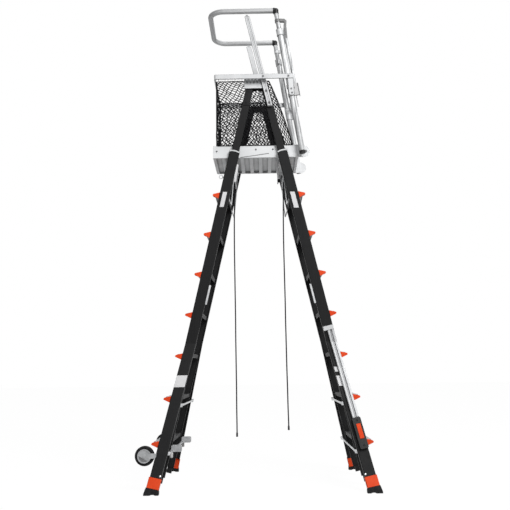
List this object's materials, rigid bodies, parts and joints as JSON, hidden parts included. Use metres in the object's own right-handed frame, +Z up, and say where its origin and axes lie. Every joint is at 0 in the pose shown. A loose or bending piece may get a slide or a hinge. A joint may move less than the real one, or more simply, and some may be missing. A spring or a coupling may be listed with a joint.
{
  "type": "adjustable platform stepladder",
  "caption": "Adjustable black fibreglass A-frame stepladder with telescoping rails, orange-ended steps, and a fenced standing deck with guard loop, netting and a self-closing gate.",
  "frame": {"origin": "centre of the bounding box on the floor", "axes": "+X towards the climbing side with the gate, Y across the steps, +Z up"},
  "size_m": [1.649, 1.1242, 3.5735],
  "materials": {
    "rail": "black pultruded glass fibre, satin",
    "alu": "mill finish extrusion",
    "steel": "zinc plated",
    "orange": "moulded, fine grain",
    "black_plastic": "moulded",
    "grey_plastic": "moulded",
    "rubber": "ribbed sole",
    "tyre": "smooth tread",
    "hinge_black": "black coat",
    "net": "knotted cord",
    "cord": "braided"
  },
  "bodies": {
    "front": {"front_fly_rails": "rail", "front_fly_treads": "hinge_black", "front_hinge": "hinge_black", "mid_posts": "alu", "gussets": "alu", "top_loop": "alu", "loop_caps": "black_plastic", "end_posts": "alu", "post_collars": "alu", "post_plugs": "black_plastic", "post_brackets": "alu", "mid_rail": "alu", "net_near": "net", "net_far": "net", "net_end": "net", "guard_bolts": "steel", "gate_keepers": "steel", "deck_hangers": "steel", "cord_right": "cord"},
    "rear": {"rear_fly_rails": "rail", "rear_fly_treads": "hinge_black", "rear_hinge": "hinge_black", "rest_bar": "steel", "cord_left": "cord"},
    "deck": {"deck_panel": "alu", "toe_boards": "alu"},
    "front_base": {"front_rails": "rail", "front_legs": "rail", "front_treads": "alu", "front_caps": "orange", "front_rods": "steel", "front_collars": "alu", "level_tracks": "alu", "level_housings": "black_plastic"},
    "rear_base": {"rear_rails": "rail", "rear_legs": "rail", "rear_treads": "alu", "rear_caps": "orange", "rear_rods": "steel", "rear_collars": "alu", "rear_shoes": "orange", "rear_pads": "rubber", "wheel_brackets": "grey_plastic"},
    "level_near": {"level_leg_near": "hinge_black", "level_shoe_near": "orange", "level_pad_near": "rubber"},
    "level_far": {"level_leg_far": "hinge_black", "level_shoe_far": "orange", "level_pad_far": "rubber"},
    "button_near": {"button_near": "orange"},
    "button_far": {"button_far": "orange"},
    "wheel_near": {"tyre_near": "tyre", "hub_near": "grey_plastic"},
    "wheel_far": {"tyre_far": "tyre", "hub_far": "grey_plastic"},
    "pedal_near": {"pedal_near": "grey_plastic"},
    "pedal_far": {"pedal_far": "grey_plastic"},
    "gate": {"gate_frame": "alu", "gate_straps": "steel"}
  },
  "joints": [
    {"name": "fold", "type": "hinge", "parent": "front", "child": "rear", "pos_m": [0.0365, 0, 2.948], "axis": [0, -1, 0], "range_deg": [0, 24], "deforming": ["net_near", "net_far", "net_end", "cord_right", "cord_left"]},
    {"name": "deck_tilt", "type": "hinge", "parent": "front", "child": "deck", "pos_m": [0.2185, 0, 2.401], "axis": [0, 1, 0], "range_deg": [0, 56.1]},
    {"name": "front_extend", "type": "slide", "parent": "front", "child": "front_base", "axis": [0.2241, 0, -0.9746], "range_m": [0, 1.877]},
    {"name": "rear_extend", "type": "slide", "parent": "rear", "child": "rear_base", "axis": [-0.2241, 0, -0.9746], "range_m": [0, 1.877]},
    {"name": "gate_swing", "type": "hinge", "parent": "front", "child": "gate", "pos_m": [0.30369, -0.275, 2.808], "axis": [-0.157, 0, 0.9876], "range_deg": [0, 70], "stiffness_Nm_per_rad": 4, "springref_deg": -28.65},
    {"name": "level_near_slide", "type": "slide", "parent": "front_base", "child": "level_near", "axis": [0.2151, -0.2806, -0.9354], "range_m": [0, 0.2]},
    {"name": "level_far_slide", "type": "slide", "parent": "front_base", "child": "level_far", "axis": [0.2151, 0.2806, -0.9354], "range_m": [0, 0.2]},
    {"name": "button_near_press", "type": "slide", "parent": "front_base", "child": "button_near", "axis": [0, 0.9578, -0.2873], "range_m": [0, 0.004], "stiffness_N_per_m": 800},
    {"name": "button_far_press", "type": "slide", "parent": "front_base", "child": "button_far", "axis": [0, -0.9578, -0.2873], "range_m": [0, 0.004], "stiffness_N_per_m": 800},
    {"name": "wheel_near_spin", "type": "hinge", "parent": "rear_base", "child": "wheel_near", "pos_m": [-0.7585, -0.471, 0.244], "axis": [0, 1, 0], "continuous": true},
    {"name": "wheel_far_spin", "type": "hinge", "parent": "rear_base", "child": "wheel_far", "pos_m": [-0.7585, 0.471, 0.244], "axis": [0, 1, 0], "continuous": true},
    {"name": "pedal_near_press", "type": "hinge", "parent": "rear_base", "child": "pedal_near", "pos_m": [-0.59396, -0.308, 0.258], "axis": [0, 1, 0], "range_deg": [0, 25], "stiffness_Nm_per_rad": 1.2, "springref_deg": -17.19},
    {"name": "pedal_far_press", "type": "hinge", "parent": "rear_base", "child": "pedal_far", "pos_m": [-0.59396, 0.308, 0.258], "axis": [0, 1, 0], "range_deg": [0, 25], "stiffness_Nm_per_rad": 1.2, "springref_deg": -17.19}
  ],
  "couplings": [
    {"joint": "deck_tilt", "follows": "fold", "ratio": 2.3333}
  ]
}
